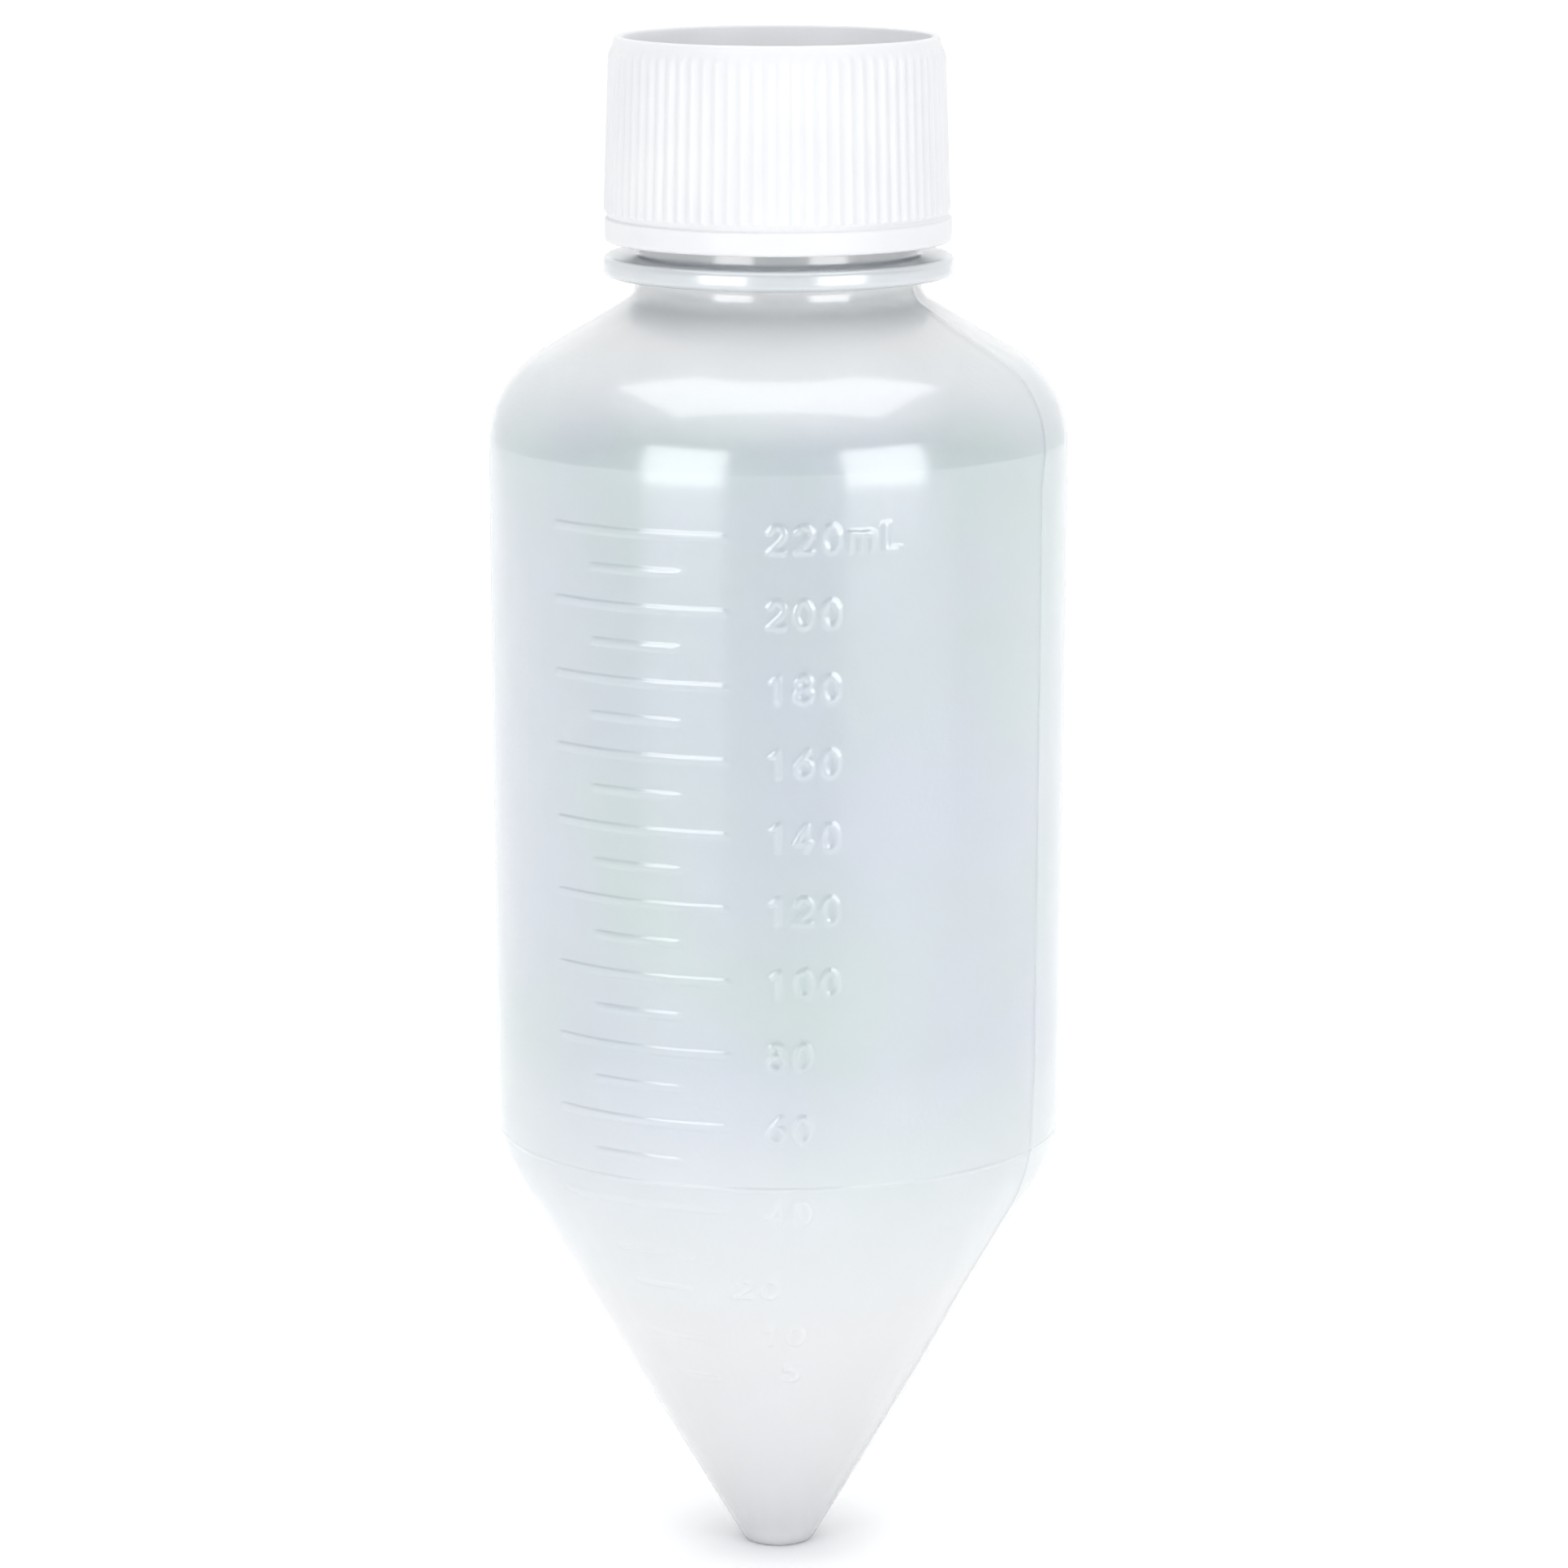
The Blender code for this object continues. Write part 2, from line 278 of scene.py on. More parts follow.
def turned_surface(name, section, angles, proud=0.0, offset_x=0.0, closed=False):
    """A turned piece: section points (radius, height) carried round the axis through the given angles.

    Point = axis + (radius, height) + proud * normal, at (radius sin(angle), -radius cos(angle), height).
    A section that starts and ends on the axis gets one point at each pole; a closed one is a ring.
    """
    body = section if closed else section[1:-1]
    normals = section_normals(np.vstack((section, section[:1])) if closed else section)
    normals = normals[:len(section)] if closed else normals[1:-1]
    rows, columns = len(body), angles.shape[-1]
    angles = np.broadcast_to(angles, (rows, columns))
    radius = body[:, :1] + proud * normals[:, :1]
    height = body[:, 1:] + proud * normals[:, 1:]
    across, ahead = radius * np.sin(angles) + offset_x, -radius * np.cos(angles)
    points = np.stack(np.broadcast_arrays(across, ahead, height), axis=-1).reshape(-1, 3)
    index = np.arange(rows * columns).reshape(rows, columns)
    if closed:
        index = np.vstack((index, index[:1]))
    right = np.roll(index, -1, axis=1)
    quads = np.stack((index[:-1], right[:-1], right[1:], index[1:]), axis=-1).reshape(-1, 4)
    corners, sizes = quads.ravel(), np.full(len(quads), 4)
    if not closed:
        low, high = len(points), len(points) + 1
        points = np.vstack((points, [[0, 0, section[0][1]], [0, 0, section[-1][1]]]))
        fan_low = np.stack((np.full(columns, low), right[0], index[0]), axis=-1)
        fan_high = np.stack((index[-1], right[-1], np.full(columns, high)), axis=-1)
        corners = np.concatenate((corners, fan_low.ravel(), fan_high.ravel()))
        sizes = np.concatenate((sizes, np.full(2 * columns, 3)))
    return new_piece(name, points, corners, sizes)


def thread_height(angles, heights, start):
    """How far a right-hand thread stands out of its wall, everywhere on a grid of angles and heights.

    On each lap the crest's height is start + pitch * turns.  The ridge is a trapezium about it, and swells
    from nothing to full size over the run-out, a share of a turn, at each end.
    """
    turn = ((angles - math.pi / 2) / math.tau) % 1.0
    flank = (THREAD_ROOT_WIDTH - THREAD_CREST_WIDTH) / 2 / THREAD_REACH
    ridge = np.zeros(np.broadcast(angles, heights).shape)
    for lap in (0, 1):
        turns = turn + lap
        swell = np.clip(np.minimum(turns, THREAD_TURNS - turns) / THREAD_RUN_OUT, 0, 1)
        beside = np.abs(heights - start - THREAD_PITCH * turns)
        rise = (THREAD_ROOT_WIDTH / 2 * swell - beside) / flank
        ridge = np.maximum(ridge, np.clip(rise, 0, THREAD_REACH * swell))
    return ridge


# ---------------------------------------------------------------- raised marks and figures

def raised(distance, proud, edge):
    """Height of a raised shape from the distance to its outline: full inside, nothing outside, over edge."""
    return proud * ramp(-distance, -edge / 2, edge / 2)


def bar_distance(u, v, half_length, half_width):
    """Distance to the outline of a bar with round ends, about its middle: the distance to its middle line
    less half its width."""
    beyond = np.maximum(np.abs(u) - (half_length - half_width), 0)
    return np.hypot(beyond, v) - half_width


def curve(x, y, across, up, start, end, count=13):
    """Points on an ellipse about (x, y) between two angles in degrees."""
    t = np.radians(np.linspace(start, end, count))
    return np.column_stack((x + across * np.cos(t), y + up * np.sin(t)))


# Middle lines of the figures' strokes, in a cell one unit wide and one high.
FIGURE_STROKES = {
    "0": [curve(0.5, 0.5, 0.5, 0.5, 0, 360, 25)],
    "1": [np.array([[0.2, 0.8], [0.62, 1.0], [0.62, 0.0]])],
    "2": [np.vstack((curve(0.5, 0.7, 0.48, 0.3, 165, -35), [[0.0, 0.0], [1.0, 0.0]]))],
    "4": [np.array([[0.74, 0.0], [0.74, 1.0], [0.0, 0.3], [1.0, 0.3]])],
    "5": [np.vstack(([[0.92, 1.0], [0.16, 1.0], [0.1, 0.56]], curve(0.46, 0.33, 0.52, 0.33, 125, -150)))],
    "6": [np.vstack(([[0.8, 1.0]], curve(0.5, 0.3, 0.5, 0.3, 150, 510, 25)))],
    "8": [curve(0.5, 0.77, 0.42, 0.23, 0, 360, 19), curve(0.5, 0.27, 0.5, 0.27, 0, 360, 19)],
    "m": [np.array([[0.0, 0.0], [0.0, 0.72]]),
          np.vstack((curve(0.38, 0.47, 0.38, 0.25, 180, 0, 9), [[0.76, 0.0]])),
          np.vstack((curve(1.14, 0.47, 0.38, 0.25, 180, 0, 9), [[1.52, 0.0]]))],
    "L": [np.array([[0.0, 1.0], [0.0, 0.0], [0.85, 0.0]])],
}


def path_distance(u, v, path):
    """Least distance from each point to a path of straight pieces.

    On each piece the nearest point is the foot of the perpendicular, held between the piece's two ends.
    """
    start, step = path[:-1], np.diff(path, axis=0)
    du, dv = u[..., None] - start[:, 0], v[..., None] - start[:, 1]
    share = np.clip((du * step[:, 0] + dv * step[:, 1]) / (step ** 2).sum(axis=1), 0, 1)
    return np.hypot(du - share * step[:, 0], dv - share * step[:, 1]).min(axis=-1)


def writing_distance(u, v, text, left, foot):
    """Distance to the outline of a line of figures whose lower left corner is at (left, foot)."""
    cell = np.array([FIGURE_WIDTH - FIGURE_STROKE, FIGURE_HEIGHT - FIGURE_STROKE])
    corner = np.array([left, foot]) + FIGURE_STROKE / 2
    nearest = np.full(u.shape, np.inf)
    for letter in text:
        for stroke in FIGURE_STROKES[letter]:
            nearest = np.minimum(nearest, path_distance(u, v, corner + stroke * cell))
        corner[0] += FIGURE_PITCH + (EXTRA_PITCH_OF_M if letter == "m" else 0.0)
    return nearest - FIGURE_STROKE / 2


def mark_relief(radius, length, angles, mark_lengths):
    """Height of the volume marks and their figures over the whole wall.

    Both are worked out on the unrolled wall: u is radius * angle round it and v is the length up it from
    the mark.  Only rows near a mark are touched.
    """
    relief = np.zeros(angles.shape)
    for volume, mark_length in mark_lengths.items():
        near = np.abs(length - mark_length) < MARK_REACH
        u = radius[near, None] * angles[near]
        v = np.broadcast_to((length[near] - mark_length)[:, None], u.shape)
        start, end = np.radians(MARK_ANGLES[volume])
        middle = radius[near, None] * ((start + end) / 2)
        half_length = radius[near, None] * ((end - start) / 2)
        bar = bar_distance(u - middle, v, half_length, MARK_HALF_WIDTH)
        here = raised(bar, MARK_PROUD, MARK_EDGE)
        if volume in FIGURE_PLACES:
            left, foot = FIGURE_PLACES[volume]
            text = str(volume) + ("mL" if volume == 220 else "")
            writing = writing_distance(u, v, text, left, foot)
            here = np.maximum(here, raised(writing, FIGURE_PROUD, MARK_EDGE))
        relief[near] = np.maximum(relief[near], here)
    return relief


# ---------------------------------------------------------------- bottle

def bottle_lines():
    """The bottle's outside line, from the tip up over the mouth, and its inside line back down."""
    cone_top = (BODY_BOTTOM_RADIUS - TIP_RADIUS) / CONE_SLOPE
    neck_foot = SHOULDER_CORNER_HEIGHT + (BODY_TOP_RADIUS - NECK_FOOT_RADIUS) * SHOULDER_SLOPE
    cone_inset = WALL * math.hypot(1, CONE_SLOPE)
    shoulder_drop = WALL * math.hypot(1, SHOULDER_SLOPE)
    inner_top_radius = BODY_TOP_RADIUS - WALL
    inner_bottom_radius = BODY_BOTTOM_RADIUS - WALL
    inner_shoulder = SHOULDER_CORNER_HEIGHT - shoulder_drop + WALL * SHOULDER_SLOPE
    inner_neck_foot = inner_shoulder + (inner_top_radius - BORE_RADIUS) * SHOULDER_SLOPE
    inner_cone_top = (inner_bottom_radius - TIP_RADIUS + cone_inset) / CONE_SLOPE
    inner_tip_radius = TIP_RADIUS - cone_inset + CONE_SLOPE * TIP_WALL
    lip = (BORE_RADIUS + NECK_RADIUS) / 2
    outside = rounded([
        (0.0, 0.0, 0),
        (TIP_RADIUS, 0.0, TIP_FILLET),
        (BODY_BOTTOM_RADIUS, cone_top, BODY_CORNER),
        (BODY_TOP_RADIUS, SHOULDER_CORNER_HEIGHT, SHOULDER_CORNER),
        (NECK_FOOT_RADIUS, neck_foot, NECK_FILLET),
        (NECK_FOOT_RADIUS, FLANGE_BOTTOM, FLANGE_FILLET),
        (FLANGE_RADIUS, FLANGE_BOTTOM, FLANGE_FILLET),
        (FLANGE_RADIUS, FLANGE_TOP, FLANGE_RIM_FILLET),
        (NECK_RADIUS, FLANGE_TOP, FLANGE_ROOT_FILLET),
        (NECK_RADIUS, MOUTH_HEIGHT, LIP_FILLET),
        (lip, MOUTH_HEIGHT, 0),
    ], ARC_STEPS)
    inside = rounded([
        (lip, MOUTH_HEIGHT, 0),
        (BORE_RADIUS, MOUTH_HEIGHT, INNER_LIP_FILLET),
        (BORE_RADIUS, inner_neck_foot, NECK_FILLET + WALL),
        (inner_top_radius, inner_shoulder, SHOULDER_CORNER - WALL),
        (inner_bottom_radius, inner_cone_top, BODY_CORNER - WALL),
        (inner_tip_radius, TIP_WALL, INNER_TIP_FILLET),
        (0.0, TIP_WALL, 0),
    ], ARC_STEPS)
    return outside, inside


def outer_row_zones():
    """(Low, high, spacing) of heights where the outside needs close rows.

    These are the tip, the three bends, the flange's root, the thread, the lip, the two moulded lines, and
    then both edges of each mark and the height of each line of figures.
    """
    zones = [
        (0.0, 2.0, 0.3),
        (*CONE_BEND, 1.2),
        (*SHOULDER_BEND, 0.9),
        (*NECK_BEND, 0.35),
        (FLANGE_TOP, FLANGE_TOP + 0.6, 0.15),
        (THREAD_START - 2.5, THREAD_START + 9.0, 0.38),
        (156.2, 156.7, 0.12),
        (RING_LINE_HEIGHT - 0.5, RING_LINE_HEIGHT + 0.5, 0.13),
        (SHOULDER_LINE_HEIGHT - 0.5, SHOULDER_LINE_HEIGHT + 0.5, 0.2),
    ]
    for volume, height in MARK_HEIGHTS.items():
        zones += [(height - 0.78, height - 0.24, 0.12), (height + 0.24, height + 0.78, 0.12)]
        if volume in FIGURE_PLACES:
            foot = height + FIGURE_PLACES[volume][1]
            zones.append((foot - 0.5, foot + FIGURE_HEIGHT + 0.5, 0.24))
    return zones


def bottle_rows(outside, inside):
    """Lengths along the two lines at which rows are kept.

    Rows lie close at the marks, the figures, the thread and the small arcs.  A zone between two heights
    becomes one between the lengths at which the line passes them.
    """
    outer, inner = along(outside), along(inside)
    zones = [(*np.interp((low, high), outside[:, 1], outer), fine) for low, high, fine in outer_row_zones()]
    flange_start = np.interp(FLANGE_BOTTOM - 0.5, outside[:, 1], outer) + 0.2
    flange_end = np.interp(FLANGE_TOP - 0.01, outside[:, 1], outer) + 0.7
    outer_lengths = graded(0.0, outer[-1], 4.0, zones + [(flange_start, flange_end, 0.24)])
    inner_zones = [(0.0, 2.2, 0.25), (inner[-1] - 4.5, inner[-1] - 1.0, 0.5)]
    for bend, fine in ((CONE_BEND, 2.2), (INNER_SHOULDER_BEND, 1.8)):
        above_tip = np.interp(bend, inside[::-1, 1], (inner[-1] - inner)[::-1])
        inner_zones.append((*sorted(inner[-1] - above_tip), fine))
    return outer_lengths, graded(0.0, inner[-1], 5.0, inner_zones)


def bottle_angles(heights):
    """Angles of the bottle's columns, in radians, for each row.

    Columns lie close together across the figures, closest across the three large ones, at the ends of the
    marks and at the mould seams, and the seams' columns are shifted sideways where the seams wander.
    """
    zones = [(-12.0, -2.6, 0.6), (-2.6, 13.6, 0.43), (13.6, 25.2, 0.6)]
    zones += [(edge - 1.2, edge + 1.2, 0.8) for edge in (-48.5, -40.0, -38.7, -21.5, -19.3)]
    zones += [(seam - 0.9, seam + 0.9, 0.25) for seam in SEAM_ANGLES]
    columns = graded(-180.0, 180.0, 4.8, zones)[:-1]
    columns = np.broadcast_to(columns, (heights.size, columns.size)).copy()
    for seam in SEAM_ANGLES:
        columns += seam_wander(heights)[:, None] * bell(columns - seam, SEAM_WANDER_SPREAD)
    return np.radians(columns)


def seam_wander(heights):
    """Degrees by which the mould seams stand off their middle angle, at each height."""
    return np.interp(heights, *np.array(SEAM_WANDER).T)


def seam_relief(radius, heights, angles):
    """A fine ridge along each mould seam: a hump across it, fading out at the tip and under the flange."""
    relief = np.zeros(angles.shape)
    for seam in SEAM_ANGLES:
        beside = radius[:, None] * (angles - np.radians(seam + seam_wander(heights)[:, None]))
        relief += SEAM_PROUD * bell(beside, SEAM_WIDTH)
    return relief * (ramp(heights, *SEAM_RISES) * fall(heights, *SEAM_ENDS))[:, None]


def make_bottle_shell():
    """The bottle in one closed wall: its outside with all that is moulded into it, then its plain inside."""
    outside, inside = bottle_lines()
    outer_lengths, inner_lengths = bottle_rows(outside, inside)
    outer_rows = resample(outside, outer_lengths)
    section = np.vstack((outer_rows, resample(inside, inner_lengths)[1:]))
    angles = bottle_angles(section[1:-1, 1])
    count = len(outer_rows) - 1
    radius, height, outer_angles = section[1:count + 1, 0], section[1:count + 1, 1], angles[:count]
    mark_lengths = {volume: np.interp(z, outside[:, 1], along(outside)) for volume, z in MARK_HEIGHTS.items()}
    relief = mark_relief(radius, outer_lengths[1:count + 1], outer_angles, mark_lengths)
    relief = relief + seam_relief(radius, height, outer_angles)
    relief += RING_LINE_PROUD * bell(height - RING_LINE_HEIGHT, RING_LINE_WIDTH)[:, None]
    relief += SHOULDER_LINE_PROUD * bell(height - SHOULDER_LINE_HEIGHT, SHOULDER_LINE_WIDTH)[:, None]
    on_neck = (height > FLANGE_TOP + 1) & (radius > NECK_RADIUS - 0.2)
    relief += on_neck[:, None] * thread_height(outer_angles, height[:, None], THREAD_START)
    proud = np.zeros(angles.shape)
    proud[:count] = relief
    return turned_surface("bottle_shell", section, angles, proud)


# ---------------------------------------------------------------- cap

def cap_line():
    """The cap's section: floor of the well, over the rim, down the ribbed wall and band, and up the bore."""
    top, floor = CAP_TOP, CAP_TOP - WELL_DEPTH
    band_top = CAP_BASE + CAP_BAND_HEIGHT
    return rounded([
        (0.0, floor, 0),
        (WELL_RADIUS - WELL_DRAFT, floor, 0.5),
        (WELL_RADIUS, top, 0.25),
        (CAP_RIM_RADIUS, top, 0.28),
        (CAP_EDGE_RADIUS, top - CAP_EDGE_DROP, 0.8),
        (CAP_WALL_RADIUS, top - CAP_WALL_DROP, 2.0),
        (CAP_FOOT_RADIUS, band_top, 0.1),
        (CAP_BAND_RADIUS, band_top - CAP_BAND_FILLET, CAP_BAND_FILLET),
        (CAP_BAND_RADIUS, CAP_BASE, 0.35),
        (CAP_BORE_RADIUS, CAP_BASE, 0.45),
        (CAP_BORE_RADIUS, floor - CAP_PLATE, 0.5),
        (0.0, floor - CAP_PLATE, 0),
    ], CAP_ARC_STEPS)


def make_cap_shell():
    """The ribbed cap in one closed wall.

    The wall stands out by the depth of a rib, less grooves of (half of 1 + cos(count * angle)) to a power,
    which narrows them, from just under the rim to just above the band.  The section runs down the outside,
    so its normals point into the plastic: the thread is cut into the bore, and the faces, which would
    point inwards, are turned round.  Rows lie closest at the rim and the band.
    """
    line = cap_line()
    total = along(line)
    rim_start = total[np.argmax(line[:, 1] > CAP_TOP - 0.3)]
    wall_start = total[np.argmax((line[:, 0] > CAP_WALL_RADIUS - 0.05) & (line[:, 1] < CAP_TOP - 1))]
    band_start = total[np.argmax((line[:, 0] > CAP_FOOT_RADIUS - 0.02) & (line[:, 1] < CAP_BASE + 4))]
    foot_end = band_start + CAP_BAND_HEIGHT + 4.6
    lengths = graded(0.0, total[-1], 4.0, [
        (14.5, rim_start, 0.4),
        (rim_start - 0.4, wall_start + 0.2, 0.12),
        (wall_start, wall_start + 1.0, 0.3),
        (wall_start, band_start, 1.2),
        (band_start - 1.2, band_start + 0.6, 0.12),
        (band_start, foot_end, 0.25),
        (foot_end, foot_end + 17.0, 0.42),
    ])
    section = resample(line, lengths)
    columns = RIB_COUNT * RIB_COLUMNS
    angles = np.radians(np.arange(columns) * 360 / columns)
    at, radius, height = lengths[1:-1], section[1:-1, 0], section[1:-1, 1]
    rib = (0.5 + 0.5 * np.cos(RIB_COUNT * angles)) ** RIB_POWER
    ribbed = ramp(at, wall_start - 1.0, wall_start + 0.7) * fall(at, band_start - 0.75, band_start - 0.35)
    proud = -RIB_DEPTH * ribbed[:, None] * (1 - rib)
    in_bore = (at > foot_end - 1.0) & (radius > CAP_BORE_RADIUS - 0.02)
    proud += in_bore[:, None] * thread_height(angles, height[:, None], THREAD_START - THREAD_PITCH / 2)
    on_wall = ramp(at, rim_start - 0.5, rim_start + 0.5) * fall(at, band_start - 0.4, band_start)
    cap = turned_surface("cap_shell", section, angles, proud, RIB_WALL_OFFSET * on_wall[:, None])
    cap.data.flip_normals()
    return cap


def make_seal():
    """The flat seal ring: a rectangle with small round corners, carried round the axis."""
    line = rounded([
        (SEAL_INNER_RADIUS, SEAL_BOTTOM, SEAL_FILLET),
        (SEAL_OUTER_RADIUS, SEAL_BOTTOM, SEAL_FILLET),
        (SEAL_OUTER_RADIUS, SEAL_TOP, SEAL_FILLET),
        (SEAL_INNER_RADIUS, SEAL_TOP, SEAL_FILLET),
    ], 5)
    angles = np.radians(np.arange(SEAL_COLUMNS) * 360 / SEAL_COLUMNS)
    return turned_surface("seal_gasket", line, angles, closed=True)


# ---------------------------------------------------------------- finishes and light, from nodes

BLACK = (0.0, 0.0, 0.0)
WHITE = (1.0, 1.0, 1.0)

# Colours of the bottle's plastic: its two kinds of flow cloud, then painted light and shade: a paler cone
# standing in for the light the bright floor throws on it, a paler neck, partly thicker milkier plastic and
# partly painted light against the shade under the flange, and a greyer flange, painted shade that tones down
# how bright the lights make it.
GREENISH_WALL = (0.59, 0.685, 0.68)
LAVENDER_WALL = (0.62, 0.67, 0.755)
PAINTED_LIGHT_CONE_COLOUR = (0.94, 0.965, 1.0)
NECK_COLOUR_AND_PAINTED_LIGHT = (0.96, 0.98, 1.0)
PAINTED_SHADE_FLANGE_COLOUR = (0.73, 0.77, 0.81)
FLANGE_MIDDLE = (FLANGE_BOTTOM + FLANGE_TOP) / 2 * MM


def new_material(name):
    """An empty Principled material and its node tree."""
    material = bpy.data.materials.new(name)
    material.use_nodes = True
    return material, material.node_tree, material.node_tree.nodes["Principled BSDF"]


def coordinates(tree, kind="Object"):
    """The piece's own coordinates, in metres, or in the world's tree a direction."""
    node = tree.nodes.get("Texture Coordinate") or tree.nodes.new("ShaderNodeTexCoord")
    return node.outputs[kind]


def part(tree, axis, kind="Object"):
    """One coordinate of the piece, in metres, or of a direction."""
    parts = tree.nodes.new("ShaderNodeSeparateXYZ")
    tree.links.new(coordinates(tree, kind), parts.inputs["Vector"])
    return parts.outputs[axis]


def noise(tree, scale, detail=2.0):
    """Noise on the piece's own coordinates, in metres."""
    texture = tree.nodes.new("ShaderNodeTexNoise")
    texture.inputs["Scale"].default_value = scale
    texture.inputs["Detail"].default_value = detail
    tree.links.new(coordinates(tree), texture.inputs["Vector"])
    return texture.outputs["Fac"]


def spread(tree, value, low, high, start=0.3, end=0.7):
    """A value carried from start..end to low..high."""
    node = tree.nodes.new("ShaderNodeMapRange")
    for name, number in (("From Min", start), ("From Max", end), ("To Min", low), ("To Max", high)):
        node.inputs[name].default_value = number
    tree.links.new(value, node.inputs["Value"])
    return node.outputs["Result"]


def combine(tree, operation, *values):
    """One Math node on the given values, each a number or another node's output."""
    node = tree.nodes.new("ShaderNodeMath")
    node.operation = operation
    for value, socket in zip(values, node.inputs):
        if isinstance(value, float):
            socket.default_value = value
        else:
            tree.links.new(value, socket)
    return node.outputs["Value"]


def tint(tree, value, low, high):
    """A colour between low and high, picked by a value between 0 and 1."""
    node = tree.nodes.new("ShaderNodeMix")
    node.data_type = "RGBA"
    for socket, colour in (("A", low), ("B", high)):
        if isinstance(colour, tuple):
            node.inputs[socket].default_value = (*colour, 1.0)
        else:
            tree.links.new(colour, node.inputs[socket])
    tree.links.new(value, node.inputs["Factor"])
    return node.outputs["Result"]


def grain(tree, shader, layers):
    """Bumps laid over each other on the shader's normal: (height source, depth in metres) pairs."""
    normal = None
    for source, depth in layers:
        bump = tree.nodes.new("ShaderNodeBump")
        bump.inputs["Distance"].default_value = depth
        tree.links.new(source, bump.inputs["Height"])
        if normal:
            tree.links.new(normal, bump.inputs["Normal"])
        normal = bump.outputs["Normal"]
    tree.links.new(normal, shader.inputs["Normal"])


def settings(shader, **values):
    """Plain numbers and colours set on the shader's own sockets."""
    for name, value in values.items():
        shader.inputs[name.replace("_", " ")].default_value = value


def translucent_polypropylene():
    """Milky see-through plastic with soft flow clouds and a fine moulded grain.

    The body's thin wall has the clouds' two colours.  It turns paler down the cone, painted light that stands
    in for the light the bright floor throws on it, and up to the neck, where the plastic is thicker and
    milkier and painted light offsets the shade under the flange.  It turns greyer in the flange: painted
    shade that tones down how bright the lights make it.
    """
    material, tree, shader = new_material("translucent_polypropylene")
    clouds = spread(tree, noise(tree, 38.0, 3.0), 0.0, 1.0, start=0.38, end=0.62)
    thin_wall = tint(tree, clouds, GREENISH_WALL, LAVENDER_WALL)
    height = part(tree, "Z")
    # Painted light: the cone's colour turns paler, standing in for light from the bright floor.
    painted_light_to_cone = spread(tree, height, 1.0, 0.0, start=0.028, end=0.06)
    # Partly painted light: the neck is paler for its thicker, milkier plastic and to offset the shade under
    # the flange and cap.
    neck_and_painted_light = spread(tree, height, 0.0, 1.0, start=0.122, end=0.134)
    from_flange = combine(tree, "ABSOLUTE", combine(tree, "SUBTRACT", height, FLANGE_MIDDLE))
    # Painted shade: the flange's colour turns greyer, toning down how bright the lights make it.
    painted_shade_on_flange = spread(tree, from_flange, 1.0, 0.0, start=0.0010, end=0.0015)
    wall = tint(tree, neck_and_painted_light, tint(tree, painted_light_to_cone, thin_wall, PAINTED_LIGHT_CONE_COLOUR), NECK_COLOUR_AND_PAINTED_LIGHT)
    tree.links.new(tint(tree, painted_shade_on_flange, wall, PAINTED_SHADE_FLANGE_COLOUR), shader.inputs["Base Color"])
    tree.links.new(spread(tree, noise(tree, 130.0), 0.42, 0.5), shader.inputs["Roughness"])
    grain(tree, shader, [(noise(tree, 1400.0), 0.000025), (noise(tree, 260.0), 0.00004)])
    settings(shader, IOR=1.49, Transmission_Weight=0.42, Coat_Weight=1.0, Coat_Roughness=0.14, Coat_IOR=2.1,
             Subsurface_Weight=1.0, Subsurface_Radius=(1.0, 1.0, 1.0), Subsurface_Scale=0.004)
    return material


def white_polypropylene():
    """Opaque white plastic with a satin skin."""
    material, tree, shader = new_material("white_polypropylene")
    clouds = spread(tree, noise(tree, 90.0, 3.0), 0.0, 1.0)
    white = tint(tree, clouds, (0.655, 0.655, 0.67), (0.69, 0.69, 0.70))
    tree.links.new(white, shader.inputs["Base Color"])
    tree.links.new(spread(tree, noise(tree, 300.0), 0.36, 0.46), shader.inputs["Roughness"])
    grain(tree, shader, [(noise(tree, 1800.0), 0.00002), (noise(tree, 320.0), 0.00003)])
    settings(shader, IOR=1.49, Subsurface_Weight=0.25, Subsurface_Radius=(1.0, 1.0, 1.0),
             Subsurface_Scale=0.001)
    return material


def clear_silicone():
    """Cloudy soft rubber of the seal ring."""
    material, tree, shader = new_material("clear_silicone")
    clouds = spread(tree, noise(tree, 160.0, 3.0), 0.0, 1.0)
    tree.links.new(tint(tree, clouds, (0.78, 0.8, 0.8), (0.88, 0.89, 0.885)), shader.inputs["Base Color"])
    tree.links.new(spread(tree, noise(tree, 500.0), 0.45, 0.6), shader.inputs["Roughness"])
    grain(tree, shader, [(noise(tree, 1500.0), 0.00003)])
    settings(shader, IOR=1.41, Transmission_Weight=0.35)
    return material


# ---------------------------------------------------------------- setting

# White paper: a level floor from its front edge to the bend, then a backdrop, in metres.
PAPER_FRONT = -6.0
PAPER_BEND = 1.9
PAPER_BEND_FILLET = 0.6
PAPER_TOP = 2.6
PAPER_HALF_WIDTH = 5.0
# Strength of the paper's painted glow: the paper gives off light of its own, though it is no lamp.
PAINTED_PAPER_GLOW = 0.42

# Soft lights: azimuth in degrees from the front towards +X, then height, distance, width and depth in
# metres, brightness, and whether it shows in the gloss of what it lights.
AIM_HEIGHT = 0.12
SOFT_LIGHTS = {
    "softbox_left": (-36.5, 0.172, 0.36, 0.215, 0.203, 2.45, True),
    "softbox_right": (41.5, 0.172, 0.36, 0.22, 0.203, 2.45, True),
    "card_left": (-36.5, 0.037, 0.36, 0.215, 0.066, 0.3, True),
    "card_right": (48.0, 0.037, 0.36, 0.3, 0.066, 0.3, True),
    "fill_front": (0.0, 0.62, 2.2, 3.0, 1.2, 0.68, False),
    "fill_top": (0.0, 1.2, 0.3, 0.7, 0.7, 0.8, False),
    "softbox_top": (0.0, 0.85, 0.02, 1.0, 0.64, 1.02, True),
}
